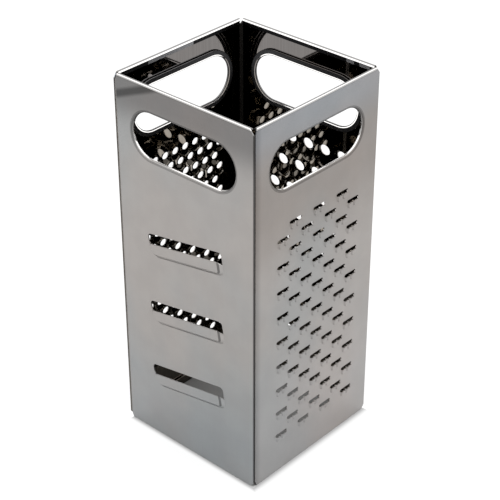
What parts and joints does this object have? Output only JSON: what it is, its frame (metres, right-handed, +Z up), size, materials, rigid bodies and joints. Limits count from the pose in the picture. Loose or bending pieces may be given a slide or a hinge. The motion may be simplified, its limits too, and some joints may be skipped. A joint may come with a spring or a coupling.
{
  "type": "box grater",
  "caption": "Four-sided box grater in folded stainless sheet, open at both ends, with slicing, shredding, coarse and fine sides and handle holes.",
  "frame": {"origin": "centre of the square footprint, on the plane that the bottom rim stands on", "axes": "+Z up the grater, -Y out of the slicing side, +X out of the shredding side, +Y out of the coarse side, -X out of the fine side"},
  "size_m": [0.1031, 0.1042, 0.23],
  "materials": {
    "panel_sheet": "satin outside, polished inside",
    "seam": "dark welded joint"
  },
  "bodies": {
    "root": {"slicer_panel": "panel_sheet", "shredder_panel": "panel_sheet", "coarse_panel": "panel_sheet", "fine_panel": "panel_sheet", "near_corner_seam": "seam", "right_corner_seam": "seam", "far_corner_seam": "seam", "left_corner_seam": "seam"}
  },
  "joints": []
}
